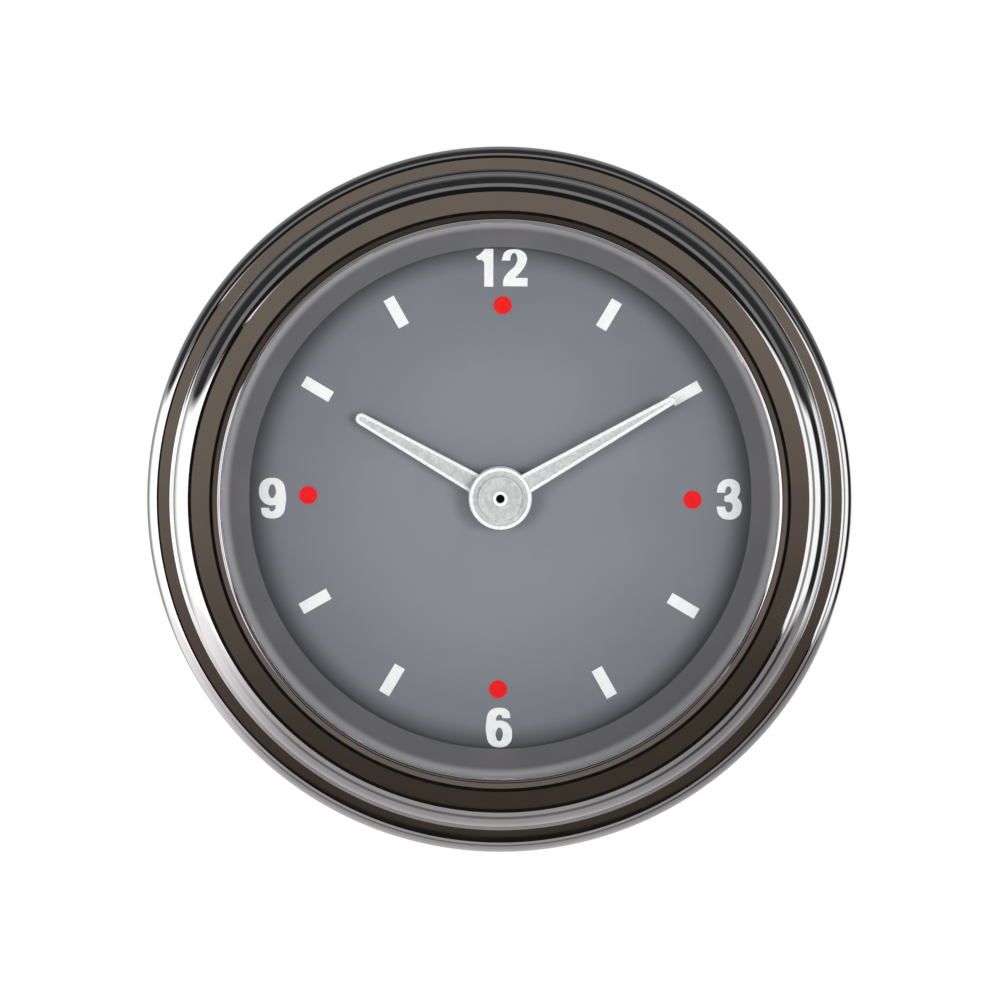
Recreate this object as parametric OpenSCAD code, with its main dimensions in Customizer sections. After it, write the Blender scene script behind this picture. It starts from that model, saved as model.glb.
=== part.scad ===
// Round dashboard clock with a stepped bright bezel, a grey dial and a quartz stepping movement.
// Millimetres. The panel's front face is the plane Y = 0, the dial looks along -Y and 12 o'clock is +Z.
// Each piece is drawn lying flat, with its front along +Z, and then stood up by upright().

/* [Bezel] */
// Overall diameter of the bezel
bezel_d = 60.3; // [59:0.1:64]
// Thickness of the bezel metal
bezel_sheet = 0.6; // [0.45:0.05:0.7]
// Height of the crown above the outer step
crown_rise = 2.6; // [2.2:0.1:3.6]
// Radius of the rounded outer rim
rim_round = 1; // [0.7:0.1:1.2]
// Width of the band on the outer step
step_band = 0.85; // [0.6:0.05:1.1]
// Radius of the shoulder between the outer step and the crown
shoulder_round = 1.4; // [1:0.05:1.6]
// Fall of the crown from its inner edge to the shoulder
crown_fall = 0.25; // [0.1:0.05:0.4]
// Width of the roll that leads from the crown down to the glass
roll_w = 0.85; // [0.6:0.05:1.1]
// Width of the bezel from its rim to the sight opening
bezel_band = 6.25; // [5.85:0.05:6.65]

/* [Case] */
// Width of the bezel outside the barrel that passes through the panel
bezel_lap = 3.65; // [3.3:0.05:4]
// Depth of the case behind the panel
case_depth = 36; // [35:0.5:46]
// Thickness of the barrel wall
case_wall = 1.6; // [1.4:0.1:1.9]
// Thickness of the rear wall
rear_wall = 2; // [1.6:0.1:2.6]
// Thickness of the flange that the bezel is crimped over
flange_t = 0.9; // [0.7:0.1:1.3]
// Width of the ledge that the dial lies on
ledge_w = 0.7; // [0.5:0.1:0.8]
// Radius of the rounded rear edge
rear_round = 1.5; // [0.5:0.1:2.5]

/* [Glass and dial] */
// Thickness of the glass
glass_t = 1.8; // [1.4:0.1:2.2]
// Thickness of the rubber gasket
gasket_t = 0.7; // [0.5:0.1:1]
// Depth from the glass to the dial
dial_gap = 4.8; // [4.2:0.1:6]
// Thickness of the dial
dial_t = 0.8; // [0.5:0.1:1.2]
// Width of the dial ring in view
ring_show = 2.4; // [1.9:0.05:3.15]
// Distance from the dial's edge to the middle of the hour bars
bar_inset = 3.25; // [2.5:0.05:4]
// Length of an hour bar
bar_len = 2.7; // [2:0.1:3.2]
// Width of an hour bar
bar_w = 1; // [0.7:0.05:1.4]
// Distance from the dial's edge to the middle of the quarter dots
dot_inset = 5; // [4.5:0.1:6]
// Diameter of a quarter dot
dot_d = 1.55; // [1.2:0.05:2]
// Thickness of the printed marks
mark_t = 0.06; // [0.04:0.01:0.1]

/* [Hands] */
// Length of the hour hand from its axis
hour_len = 14.2; // [12:0.1:16]
// Width of the hour hand at its hub
hour_w = 2; // [1.6:0.05:2.4]
// Width of the hour hand at its tip
hour_tip_w = 0.98; // [0.8:0.02:1.2]
// Length of the minute hand from its axis
minute_len = 17.3; // [16:0.1:19]
// Width of the minute hand at its hub
minute_w = 1.85; // [1.5:0.05:2.2]
// Width of the minute hand at its tip
minute_tip_w = 0.74; // [0.66:0.02:1]
// Thickness of a hand
hand_t = 0.5; // [0.35:0.05:0.7]
// Width of the raised rim along a hand
hand_rim = 0.26; // [0.2:0.02:0.3]
// Depth of the face between the raised rims
hand_recess = 0.14; // [0.08:0.02:0.2]
// Diameter of the hour hand's hub
hour_hub_d = 5.45; // [5:0.05:6]
// Diameter of the minute hand's hub
minute_hub_d = 5; // [4.6:0.05:5.6]
// Diameter of the boss on the minute hand
boss_d = 3.75; // [3:0.05:4.2]
// Height of the boss above the minute hand
boss_h = 0.4; // [0.2:0.05:0.6]
// Height of the hour hand above the dial
hand_lift = 1; // [0.8:0.1:1.4]
// Gap between the two hands
hand_gap = 0.5; // [0.4:0.05:0.8]
// Angle of the hour hand, clockwise from 12 o'clock
hour_angle = 299; // [0:1:359]
// Angle of the minute hand, clockwise from 12 o'clock
minute_angle = 59.5; // [0:0.5:359.5]

/* [Movement] */
// Thickness of the movement's plates
plate_t = 1.2; // [1:0.1:1.5]
// Thickness of a wheel
wheel_t = 0.9; // [0.7:0.1:1]
// Module of the motion works behind the dial
motion_module = 0.4; // [0.39:0.01:0.42]
// Module of the centre wheel and third pinion
centre_module = 0.3; // [0.29:0.01:0.32]
// Module of the two fast wheels
train_module = 0.25; // [0.23:0.01:0.26]
// Backlash between meshing teeth
backlash = 0.06; // [0.04:0.01:0.08]
// Diameter of the centre arbor
centre_arbor_d = 2; // [1.8:0.1:2.2]
// Diameter of the setting arbor
setting_arbor_d = 2; // [1.8:0.1:2.2]
// Diameter of the thin arbors
thin_arbor_d = 1; // [0.8:0.1:1.1]
// Diameter of the pillars between the plates
pillar_d = 3.2; // [2.8:0.1:3.6]

/* [Motor and board] */
// Diameter of the rotor magnet
rotor_d = 3; // [2.6:0.1:3.2]
// Air gap around the rotor
rotor_gap = 0.4; // [0.3:0.05:0.5]
// Length of the stator
stator_len = 17; // [16:0.5:17.5]
// Width of the stator
stator_w = 5.6; // [5.2:0.1:5.8]
// Thickness of the stator
stator_t = 1; // [0.8:0.1:1.2]
// Thickness of the coil core
core_t = 0.8; // [0.6:0.1:1]
// Diameter of the coil
coil_d = 5.2; // [4.6:0.1:5.4]
// Distance from the rotor's axis to the coil's axis
coil_pitch = 6; // [5.9:0.1:6.6]
// Thickness of the circuit board
board_t = 1.2; // [0.8:0.1:1.6]
// Gap between the rear plate and the circuit board
board_gap = 3; // [2.4:0.1:3.6]

/* [Rear] */
// Diameter of the mounting studs
stud_d = 4; // [3:0.5:5]
// Distance from the barrel's outside to the middle of a stud
stud_inset = 9.5; // [8.5:0.25:11]
// Length of a stud behind the case
stud_len = 14; // [10:1:24]
// Diameter of the setting knob
knob_d = 10; // [8:0.5:11]
// Length of the setting knob
knob_len = 9; // [7:0.5:12]
// Width of a supply blade
blade_w = 6.3; // [4.8:0.1:6.3]
// Thickness of a supply blade
blade_t = 0.8; // [0.5:0.1:1]
// Length of a supply blade behind the case
blade_len = 8; // [6:0.5:10]
// Distance between the supply blades
blade_pitch = 12; // [10:0.5:14]
// Distance from the barrel's inside to the middle of the supply blades
blade_inset = 6.7; // [6.3:0.1:7.1]
// Distance from the barrel's inside to the middle of the lamp
lamp_inset = 7.5; // [7.1:0.1:7.9]
// Diameter of the lamp holder's neck
lamp_neck_d = 8.8; // [8:0.1:9.2]
// Diameter of the lamp bulb
bulb_d = 4.8; // [4:0.1:5.2]
// Length of the lamp bulb in front of its holder
bulb_len = 6.4; // [5:0.1:9]
// Turn of the lamp holder from locked to free
lamp_turn = 60; // [45:5:70]

/* [Hidden] */
$fn = 64;

// Clearances
fit = 0.15;
press = 0.02;
run = 0.05;
clear = 0.4;
panel_gap = 1;

// Bezel: radii from the rim inwards, and the slopes of its two bands
band_tilt = 7;
cove_round = 0.25;
edge_round = 0.3;
back_round = 0.5;
rim_r = bezel_d / 2;
step_h = 2 * bezel_sheet + flange_t + 0.1;
band_out_r = rim_r - rim_round * (1 - sin(band_tilt));
band_in_r = band_out_r - step_band;
band_out_z = step_h - rim_round * (1 - cos(band_tilt));
band_in_z = band_out_z + step_band * tan(band_tilt);
wall_r = band_in_r - cove_round;
wall_in_r = wall_r - bezel_sheet;
sight_d = bezel_d - 2 * bezel_band;
sight_r = sight_d / 2;
edge_r = sight_r + roll_w;
bezel_h = step_h + crown_rise;
crown_tilt = atan(crown_fall / (wall_r - shoulder_round - edge_r));
shoulder_z = bezel_h - crown_fall - shoulder_round;

// Levels from the glass back to the rear wall
under_z = bezel_h - crown_fall - bezel_sheet;
glass_f = under_z - gasket_t;
glass_b = glass_f - glass_t;
dial_f = glass_b - dial_gap;
dial_b = dial_f - dial_t;
layer_gap = 1;
motion_foot = 0.6;
motion_space = motion_foot + 2 * wheel_t + 2 * layer_gap;
front_f = dial_b - motion_space;
front_b = front_f - plate_t;
spring_t = 0.6;
collar_t = 0.6;
centre_f = front_b - 0.9;
third_f = centre_f - wheel_t - spring_t - collar_t - 0.5;
inter_f = third_f - wheel_t - 0.8;
core_f = inter_f - wheel_t - 0.35;
stator_f = core_f - core_t;
stator_b = stator_f - stator_t;
foot_h = 0.65;
rear_f = stator_b - foot_h;
rear_b = rear_f - plate_t;
board_f = rear_b - board_gap;
board_b = board_f - board_t;
back_out = -case_depth;
back_in = back_out + rear_wall;

// Dial
dial_view_d = sight_d - 2 * ring_show;
view_r = dial_view_d / 2;
bar_radius = view_r - bar_inset;
dot_radius = view_r - dot_inset;

// Case and what fits in it
case_d = bezel_d - 2 * bezel_lap;
case_r = case_d / 2;
case_in = case_r - case_wall;
collar_in = case_in + ledge_w;
flange_r = rim_r - bezel_sheet - 0.25;
lip_r = case_r + panel_gap;
disc_r = collar_in - fit;
plate_r = case_in - clear;
pillar_r = pillar_d / 2;
pillar_ring = plate_r - pillar_r - 1.8;
pillar_angles = [30, 150, 210, 330];
screw_r = 0.95;
boss_r = screw_r + 1.65;
foot_x = 14;
foot_r = 0.7;

// Hands and the pipes that carry them
pipe_in = centre_arbor_d / 2 + 0.1;
pipe_out = pipe_in + 0.6;
tip_r = 0.65;
tip_hole_r = 0.34;
hour_z = dial_f + hand_lift;
minute_z = hour_z + hand_t + hand_gap;
arbor_tip = minute_z + hand_t + boss_h + 0.15;

// Tooth counts: 12 to 1 behind the dial, 180 to 1 from the rotor to the centre wheel
cannon_n = 10;
minute_n = 30;
minute_pinion_n = 8;
hour_n = 32;
centre_n = 40;
train_n = 48;
pinion_n = 8;
pressure = 20;
tooth_shift = 0.35;
addendum = 0.8;
dedendum = 1.05;

// Arbor places, seen from the front
centre_at = [0, 0];
motion_a = motion_module * (cannon_n + minute_n) / 2;
centre_a = centre_module * (centre_n + pinion_n) / 2;
train_a = train_module * (train_n + pinion_n) / 2;
setting_dir = 270;
third_dir = 120;
inter_dir = 60;
rotor_dir = 310;
setting_at = motion_a * [cos(setting_dir), sin(setting_dir)];
third_at = centre_a * [cos(third_dir), sin(third_dir)];
inter_at = third_at + train_a * [cos(inter_dir), sin(inter_dir)];
rotor_at = inter_at + train_a * [cos(rotor_dir), sin(rotor_dir)];
thin_r = thin_arbor_d / 2;
setting_r = setting_arbor_d / 2;
centre_r = centre_arbor_d / 2;
tail_r = 0.6;
bush_wall = 0.75;
bush_collar_w = 1.2;
bush_collar_t = 1;
bush_rise = 1.5;

// Turn of each gear, so that a tooth of one meets a gap of the next
minute_phase = mesh(setting_dir, cannon_n, 0, minute_n);
hour_phase = mesh(setting_dir + 180, minute_pinion_n, minute_phase, hour_n);
third_phase = mesh(third_dir, centre_n, 0, pinion_n);
inter_phase = mesh(inter_dir, train_n, third_phase, pinion_n);
rotor_phase = mesh(rotor_dir, train_n, inter_phase, pinion_n);

// Motor and board
tab_w = 3;
core_w = 3;
coil_at = rotor_at + [coil_pitch, 0];
bobbin_len = stator_len - 2 * tab_w - 0.4;
bobbin_r = coil_d / 2 + 0.3;
core_mid = core_f - core_t / 2;
core_ends = [-1, 1] * (stator_len - tab_w) / 2;
core_screw_r = 0.7;
core_head_w = 0.7;
core_head_t = 0.8;
screw_slot = 0.4;
board_r = case_in - 0.6;
board_side = pillar_ring * cos(pillar_angles[0]) - boss_r - clear;
tail_w = 2.4;
blade_tip = 1.2;
shoulder_w = 0.8;
shoulder_h = 1.5;
crystal_len = 11;
crystal_w = 4.6;
crystal_h = 3.6;
chip_len = 9.6;
chip_w = 6.4;
chip_h = 3;
chip_lift = 0.6;
leg_w = 1;
leg_t = 0.5;
leg_pitch = 2.5;
can_r = 3;
can_len = 5.5;
trimmer_r = 2.4;
trimmer_h = 2.6;
slot_w = 0.6;
slot_h = 0.6;
low_row_inset = 11.8;
low_row = board_r - low_row_inset;

// Rear
stud_r = stud_d / 2;
root_w = 0.4;
root_r = stud_r + root_w;
stud_head_w = 1.2;
stud_head_t = 2;
stud_pitch = case_d - 2 * stud_inset;
blade_drop = case_in - blade_inset;
lamp_rise = case_in - lamp_inset;
knob_f = back_out - 1.6;
knob_bore_r = setting_r + press;
lamp_at = [0, lamp_rise];
neck_r = lamp_neck_d / 2;
lug_r = neck_r + 1.2;
lug_w = 3;
lug_t = 1;
lamp_gap = 0.12;
socket_f = back_in + lamp_gap + lug_t + 2.4;
holder_flange_r = lug_r + 0.8;
holder_flange_t = 1.6;
grip_len = 6;
grip_t = 3.6;
grip_r = 2.6;
tab_x = 2.9;
tab_wide = 2.1;
tab_thick = 0.5;
tab_len = 3.5;
slot_gap = 0.05;

// Points along an arc from one angle to another
function arc(c, r, from, to, n = 6) = [for (i = [0:n]) let(a = from + (to - from) * i / n) c + r * [cos(a), sin(a)]];

// Turn of gear 2 that meshes with gear 1, where dir points from 1 to 2
function mesh(dir, n1, turn1, n2) = dir + 180 + 180 / n2 + (dir - turn1) * n1 / n2;

// Half the angle of a tooth at radius r, for an involute tooth of n teeth with profile shift x
function inv(a) = tan(a) * 180 / PI - a;
function tooth_half(r, n, m, x) =
  let(base = m * n / 2 * cos(pressure))
  90 / n + (2 * x * tan(pressure) / n - backlash / (2 * m * n)) * 180 / PI
  + inv(pressure) - inv(acos(min(1, base / max(r, base))));

// Outline of a spur gear with straight-sided roots and three steps along each flank
function gear_outline(n, m, x) =
  let(root = m * (n / 2 + x - dedendum), tip = m * (n / 2 + x + addendum), steps = 3)
  [for (t = [0:n - 1], s = [-1, 1], i = [0:steps])
    let(k = s < 0 ? i : steps - i, r = root + (tip - root) * k / steps, a = t * 360 / n + s * tooth_half(r, n, m, x))
    r * [cos(a), sin(a)]];

// Stands a piece up: its front turns from +Z to -Y
module upright() {
  rotate([90, 0, 0])
    children();
}

// Round bar along the clock's axis between two levels
module rod(r, z0, z1) {
  translate([0, 0, min(z0, z1)])
    cylinder(r = r, h = abs(z1 - z0));
}

// Round tube along the clock's axis between two levels
module tube(r_out, r_in, z0, z1) {
  translate([0, 0, min(z0, z1)])
    linear_extrude(abs(z1 - z0))
      difference() {
        circle(r_out);
        circle(r_in);
      }
}

// Flat shape raised between two levels
module plate(z0, z1) {
  translate([0, 0, min(z0, z1)])
    linear_extrude(abs(z1 - z0))
      children();
}

module at(p) {
  translate([p[0], p[1], 0])
    children();
}

// Repeats a piece at the four pillars
module at_pillars() {
  for (a = pillar_angles)
    at(pillar_ring * [cos(a), sin(a)])
      children();
}

// Wheel with a round bore and a ring of lightening holes
module wheel(n, m, bore_r, turn) {
  body_r = m * (n / 2 - tooth_shift - dedendum);
  hole_r = (body_r - bore_r) * 0.27;
  rotate(turn)
    difference() {
      polygon(gear_outline(n, m, -tooth_shift));
      circle(bore_r);
      for (a = [0:72:359])
        rotate(a)
          translate([bore_r + (body_r - bore_r) * 0.56, 0])
            circle(hole_r);
    }
}

module pinion(n, m, turn) {
  rotate(turn)
    polygon(gear_outline(n, m, tooth_shift));
}

// Stepped bezel: outer step, riser, crown, roll down to the glass, and a lip crimped behind the case
module bezel() {
  roll_tilt = 45;
  roll_top = [edge_r, bezel_h - edge_round];
  section = concat(
    [[lip_r, 0]],
    arc([rim_r - back_round, back_round], back_round, -90, 0),
    arc([rim_r - rim_round, step_h - rim_round], rim_round, 0, 90 - band_tilt),
    arc([wall_r + cove_round, band_in_z + cove_round], cove_round, 270 - band_tilt, 180, 4),
    arc([wall_r - shoulder_round, shoulder_z], shoulder_round, 0, 90 - crown_tilt, 8),
    arc(roll_top, edge_round, 90 - crown_tilt, 90 + roll_tilt, 4),
    [
      [sight_r, under_z + 0.1],
      [sight_r, under_z],
      [wall_in_r - bezel_sheet, under_z],
      [wall_in_r, under_z - bezel_sheet],
      [wall_in_r, step_h - bezel_sheet],
      [rim_r - bezel_sheet, step_h - bezel_sheet],
      [rim_r - bezel_sheet, bezel_sheet],
      [lip_r, bezel_sheet]
    ]
  );
  color("gainsboro")
    upright()
      rotate_extrude($fn = 128)
        polygon(section);
}

module lens_gasket() {
  color("#1c1c1c")
    upright()
      tube(disc_r, sight_r + 0.4, glass_f, under_z);
}

module glass_lens() {
  color([0.85, 0.92, 0.95, 0.35])
    upright()
      rod(disc_r, glass_b, glass_f);
}

// Ring between glass and dial, with a rounded face that falls from the sight opening to the dial
module dial_ring() {
  top_w = sight_r - view_r;
  face_r = (top_w * top_w + dial_gap * dial_gap) / (2 * top_w);
  color("#6e7074")
    upright()
      rotate_extrude($fn = 128)
        intersection() {
          translate([view_r, dial_f])
            square([disc_r - view_r, dial_gap]);
          translate([view_r + face_r, dial_f])
            circle(face_r, $fn = 128);
        }
}

module dial() {
  color("#858a92")
    upright()
      union() {
        tube(disc_r, pipe_out + 0.5, dial_b, dial_f);
        for (s = [-1, 1])
          at([s * foot_x, 0])
            rod(foot_r, dial_b, front_f - plate_t * 0.7);
      }
}

module hour_bars() {
  color("white")
    upright()
      for (h = [1, 2, 4, 5, 7, 8, 10, 11])
        rotate(-30 * h)
          translate([0, bar_radius])
            plate(dial_f, dial_f + mark_t)
              square([bar_w, bar_len], center = true);
}

module quarter_dots() {
  color("red")
    upright()
      for (h = [0, 3, 6, 9])
        rotate(-30 * h)
          translate([0, dot_radius])
            rod(dot_d / 2, dial_f, dial_f + mark_t);
}

// Moulded case: barrel, collar round the glass, flange for the bezel, dial ledge, bosses and rear wall
module case() {
  section = concat(
    [[0, back_out]],
    arc([case_r - rear_round, back_out + rear_round], rear_round, -90, 0),
    [
      [case_r, bezel_sheet],
      [flange_r, bezel_sheet],
      [flange_r, bezel_sheet + flange_t],
      [case_r, bezel_sheet + flange_t],
      [case_r, glass_f - 0.1],
      [collar_in, glass_f - 0.1],
      [collar_in, dial_b],
      [case_in, dial_b],
      [case_in, back_in],
      [0, back_in]
    ]
  );
  color("#26272a")
    upright()
      difference() {
        union() {
          rotate_extrude($fn = 128)
            polygon(section);
          at_pillars()
            rod(boss_r, back_in - rear_wall / 2, board_b);
          at(setting_at)
            rod(setting_r + bush_wall * 4, back_in - rear_wall / 2, back_in + bush_rise);
        }
        at_pillars()
          rod(screw_r + fit, back_out - 1, board_b + 1);
        at_pillars()
          rod(screw_r + 1.55, back_out - 1, back_out + 1.6);
        at(setting_at)
          rod(setting_r + run + bush_wall + press, back_out - 1, back_in + 2);
        for (s = [-1, 1])
          at([s * stud_pitch / 2, 0])
            rod(root_r + press, back_out - 1, back_in + 1);
        for (s = [-1, 1])
          at([s * blade_pitch / 2, -blade_drop])
            plate(back_out - 1, back_in + 1)
              square([blade_t, blade_w] + 2 * [0.1, 0.1], center = true);
        at(lamp_at)
          rod(neck_r + fit, back_out - 1, back_in + 1);
        at(lamp_at)
          rotate(lamp_turn)
            plate(back_out - 1, back_in + 1)
              intersection() {
                circle(lug_r + fit);
                square([3 * lug_r, lug_w + 2 * fit], center = true);
              }
      }
}

// Openings that both plates share
module plate_openings() {
  translate([0, plate_r - 3.1])
    square([10, 3.6], center = true);
}

module front_plate() {
  color("#c9a94f")
    upright()
      plate(front_b, front_f)
        difference() {
          circle(plate_r);
          plate_openings();
          at(centre_at)
            circle(centre_r + run + bush_wall + press);
          at(setting_at)
            circle(setting_r + run + bush_wall + press);
          for (p = [third_at, inter_at, rotor_at])
            at(p)
              circle(thin_r + run + bush_wall + press);
          at_pillars()
            circle(pillar_r * 0.6 + press);
          for (s = [-1, 1])
            at([s * foot_x, 0])
              circle(foot_r + run);
        }
}

// Rear plate with a window for the coil and two feet that carry the stator
module rear_plate() {
  color("#c9a94f")
    upright()
      difference() {
        union() {
          plate(rear_b, rear_f)
            difference() {
              circle(plate_r);
              plate_openings();
              at(coil_at)
                square([2 * bobbin_r + 2 * clear, bobbin_len + 2 * clear], center = true);
              at(centre_at)
                circle(tail_r + run + bush_wall + press);
              at(setting_at)
                circle(setting_r + run + bush_wall + press);
              for (p = [third_at, inter_at, rotor_at])
                at(p)
                  circle(thin_r + run + bush_wall + press);
              at_pillars()
                circle(screw_r + fit);
            }
          for (y = core_ends)
            at(rotor_at + [0, y])
              rod(core_screw_r + 1, rear_f - plate_t / 2, stator_b);
        }
        for (y = core_ends)
          at(rotor_at + [0, y])
            rod(core_screw_r + press, rear_b - 1, stator_b + 1);
      }
}

// Pillars riveted into the front plate and tapped for the case screws
module plate_pillars() {
  color("silver")
    upright()
      at_pillars()
        difference() {
          union() {
            rod(pillar_r, rear_f, front_b);
            rod(pillar_r * 0.6, front_b - 0.5, front_f);
          }
          rod(screw_r + press, rear_f - 1, rear_f + 3.5);
        }
}

module bush(bore_r, z0, z1) {
  tube(bore_r + run + bush_wall, bore_r + run, z0, z1);
}

module front_bushes() {
  color("gold")
    upright() {
      at(centre_at)
        bush(centre_r, front_b, front_f);
      at(setting_at)
        bush(setting_r, front_b, front_f);
      for (p = [third_at, inter_at, rotor_at])
        at(p)
          bush(thin_r, front_b, front_f);
    }
}

module rear_bushes() {
  color("gold")
    upright() {
      at(centre_at)
        bush(tail_r, rear_b, rear_f);
      at(setting_at)
        bush(setting_r, rear_b, rear_f);
      for (p = [third_at, inter_at, rotor_at])
        at(p)
          bush(thin_r, rear_b, rear_f);
    }
}

// Stepping motor: soft-iron stator round the rotor, closed by a core that carries the coil
module stator() {
  color("#8d9096")
    upright()
      at(rotor_at)
        plate(stator_b, stator_f)
          difference() {
            union() {
              square([stator_w * 0.7, stator_len], center = true);
              circle(stator_w / 2);
              for (y = core_ends)
                translate([0, y])
                  square([stator_w, tab_w], center = true);
            }
            circle(rotor_d / 2 + rotor_gap);
            for (y = core_ends)
              translate([0, y])
                circle(core_screw_r + run);
          }
}

module coil_core() {
  color("#7d8086")
    upright()
      at(rotor_at)
        plate(stator_f, core_f)
          difference() {
            union() {
              for (y = core_ends)
                translate([-stator_w / 2 + 1.2, y - tab_w / 2])
                  square([coil_pitch + core_w / 2 + stator_w / 2 - 1.2, tab_w]);
              translate([coil_pitch - core_w / 2, -stator_len / 2])
                square([core_w, stator_len]);
            }
            for (y = core_ends)
              translate([0, y])
                circle(core_screw_r + run);
          }
}

module along_coil() {
  translate([coil_at[0], coil_at[1], core_mid])
    rotate([90, 0, 0])
      children();
}

module coil_bobbin() {
  color("ivory")
    upright()
      along_coil()
        difference() {
          union() {
            cylinder(r = core_w / 2 + 0.6, h = bobbin_len, center = true);
            for (s = [-1, 1])
              translate([0, 0, s * (bobbin_len / 2 - 0.4)])
                cylinder(r = bobbin_r, h = 0.8, center = true);
          }
          cube([core_w + 2 * run, core_t + 2 * run, bobbin_len + 2], center = true);
        }
}

module coil_winding() {
  color("#a4562a")
    upright()
      along_coil()
        difference() {
          cylinder(r = coil_d / 2, h = bobbin_len - 1.6, center = true);
          cylinder(r = core_w / 2 + 0.6, h = bobbin_len, center = true);
        }
}

// Pins that take the coil's ends through the rear plate's window to the board
module coil_pins() {
  color("silver")
    upright()
      for (s = [-1, 1])
        at(coil_at + [0, s * (bobbin_len / 2 - 0.4)])
          rod(0.3, core_mid - bobbin_r, board_b - 0.5);
}

module core_screws() {
  color("silver")
    upright()
      for (y = core_ends)
        at(rotor_at + [0, y])
          difference() {
            union() {
              rod(core_screw_r, rear_b, core_f);
              rod(core_screw_r + core_head_w, rear_b - core_head_t, rear_b);
            }
            plate(rear_b - core_head_t - 1, rear_b - core_head_t + 0.3)
              square([4 * core_screw_r + 2, screw_slot], center = true);
          }
}

// Round circuit board, notched for the lamp
module circuit_board() {
  color("#2d6a3e")
    upright()
      plate(board_b, board_f)
        difference() {
          circle(board_r);
          at(lamp_at)
            circle(lug_r + clear);
          at(lamp_at)
            translate([-lug_r - clear, 0])
              square(2 * [lug_r + clear, lug_r + clear]);
          at(setting_at)
            circle(setting_r + clear);
          at_pillars()
            circle(screw_r + fit);
          for (s = [-1, 1])
            at([s * blade_pitch / 2, -blade_drop])
              square([blade_t + 0.2, tail_w + 0.2], center = true);
          for (s = [-1, 1])
            at(coil_at + [0, s * (bobbin_len / 2 - 0.4)])
              circle(0.3 + run);
        }
}

module quartz_crystal() {
  color("silver")
    upright()
      at([board_side - crystal_len / 2, -low_row])
        plate(board_b - crystal_h, board_b) {
          square([crystal_len - crystal_w, crystal_w], center = true);
          for (s = [-1, 1])
            translate([s * (crystal_len - crystal_w) / 2, 0])
              circle(crystal_w / 2);
        }
}

module driver_chip() {
  color("#222222")
    upright()
      at([chip_w / 2 + chip_lift - board_side, -low_row * 0.24]) {
        plate(board_b - chip_lift - chip_h, board_b - chip_lift)
          square([chip_w, chip_len], center = true);
        for (s = [-1, 1], i = [-1.5:1.5])
          at([s * (chip_w / 2 + leg_t / 2 - 0.05), i * leg_pitch])
            plate(board_b - chip_lift - chip_h / 2 - 0.1, board_b)
              square([leg_t, leg_w], center = true);
      }
}

module smoothing_capacitor() {
  color("#24365c")
    upright()
      at([can_r - board_side, low_row * 0.64])
        rod(can_r, board_b - can_len, board_b);
}

module trimmer_capacitor() {
  color("#d8c24a")
    upright()
      at([2 * trimmer_r - board_side, -low_row * 0.24 - chip_len / 2 - clear - trimmer_r])
        difference() {
          rod(trimmer_r, board_b - trimmer_h, board_b);
          plate(board_b - trimmer_h - 1, board_b - trimmer_h + slot_h)
            square([trimmer_r * 4 / 3, slot_w], center = true);
        }
}

module board_spacers() {
  color("silver")
    upright()
      at_pillars()
        tube(pillar_r, screw_r + fit, board_f, rear_b);
}

// Long screws from the rear wall into the pillars
module case_screws() {
  head_f = back_out + 1.6;
  color("silver")
    upright()
      at_pillars()
        difference() {
          union() {
            rod(screw_r, head_f, rear_f + 3);
            rod(screw_r + 1.2, head_f - 1.4, head_f);
          }
          plate(head_f - 1.5, head_f - 0.8)
            square([5, 0.5], center = true);
        }
}

// Studs pressed through the rear wall, each with a square head inside
module mounting_studs() {
  color("silver")
    upright()
      for (s = [-1, 1])
        at([s * stud_pitch / 2, 0]) {
          rod(stud_r, back_out - stud_len, back_out);
          rod(root_r, back_out, back_in);
          plate(back_in, back_in + stud_head_t)
            square(2 * (stud_r + stud_head_w) * [1, 1], center = true);
        }
}

// Flat blades behind the case, with a shoulder inside it and a tail soldered to the board
module supply_terminals() {
  end = back_out - blade_len;
  outline = [
    [-blade_w / 2, back_in],
    [-blade_w / 2, end + blade_tip],
    [-blade_w / 2 + blade_tip, end],
    [blade_w / 2 - blade_tip, end],
    [blade_w / 2, end + blade_tip],
    [blade_w / 2, back_in],
    [blade_w / 2 + shoulder_w, back_in],
    [blade_w / 2 + shoulder_w, back_in + shoulder_h],
    [tail_w / 2, back_in + shoulder_h],
    [tail_w / 2, board_f + 0.6],
    [-tail_w / 2, board_f + 0.6],
    [-tail_w / 2, back_in + shoulder_h],
    [-blade_w / 2 - shoulder_w, back_in + shoulder_h],
    [-blade_w / 2 - shoulder_w, back_in]
  ];
  color("#d9c27a")
    upright()
      for (s = [-1, 1])
        at([s * blade_pitch / 2, -blade_drop])
          rotate([90, 0, 90])
            linear_extrude(blade_t, center = true)
              difference() {
                polygon(outline);
                translate([0, end + 0.45 * blade_len])
                  circle(0.9);
              }
}

module setting_bush() {
  color("gold")
    upright()
      at(setting_at) {
        bush(setting_r, back_out, back_in + bush_rise);
        tube(setting_r + run + bush_wall + bush_collar_w, setting_r + run, back_out - bush_collar_t, back_out);
      }
}

// Outline of a tapered hand that points to 12 o'clock
module hand_outline(len, root_w, tip_w, hub_r) {
  circle(hub_r);
  polygon([[-root_w / 2, 0], [root_w / 2, 0], [tip_w / 2, len - tip_w / 2], [-tip_w / 2, len - tip_w / 2]]);
  translate([0, len - tip_w / 2])
    circle(tip_w / 2);
}

// Hand with a raised rim along its edge
module hand(len, root_w, tip_w, hub_r) {
  difference() {
    linear_extrude(hand_t)
      hand_outline(len, root_w, tip_w, hub_r);
    translate([0, 0, hand_t - hand_recess])
      linear_extrude(hand_t)
        hand_outline(len - hand_rim, root_w - 2 * hand_rim, tip_w - 2 * hand_rim, hub_r - hand_rim);
  }
}

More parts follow.
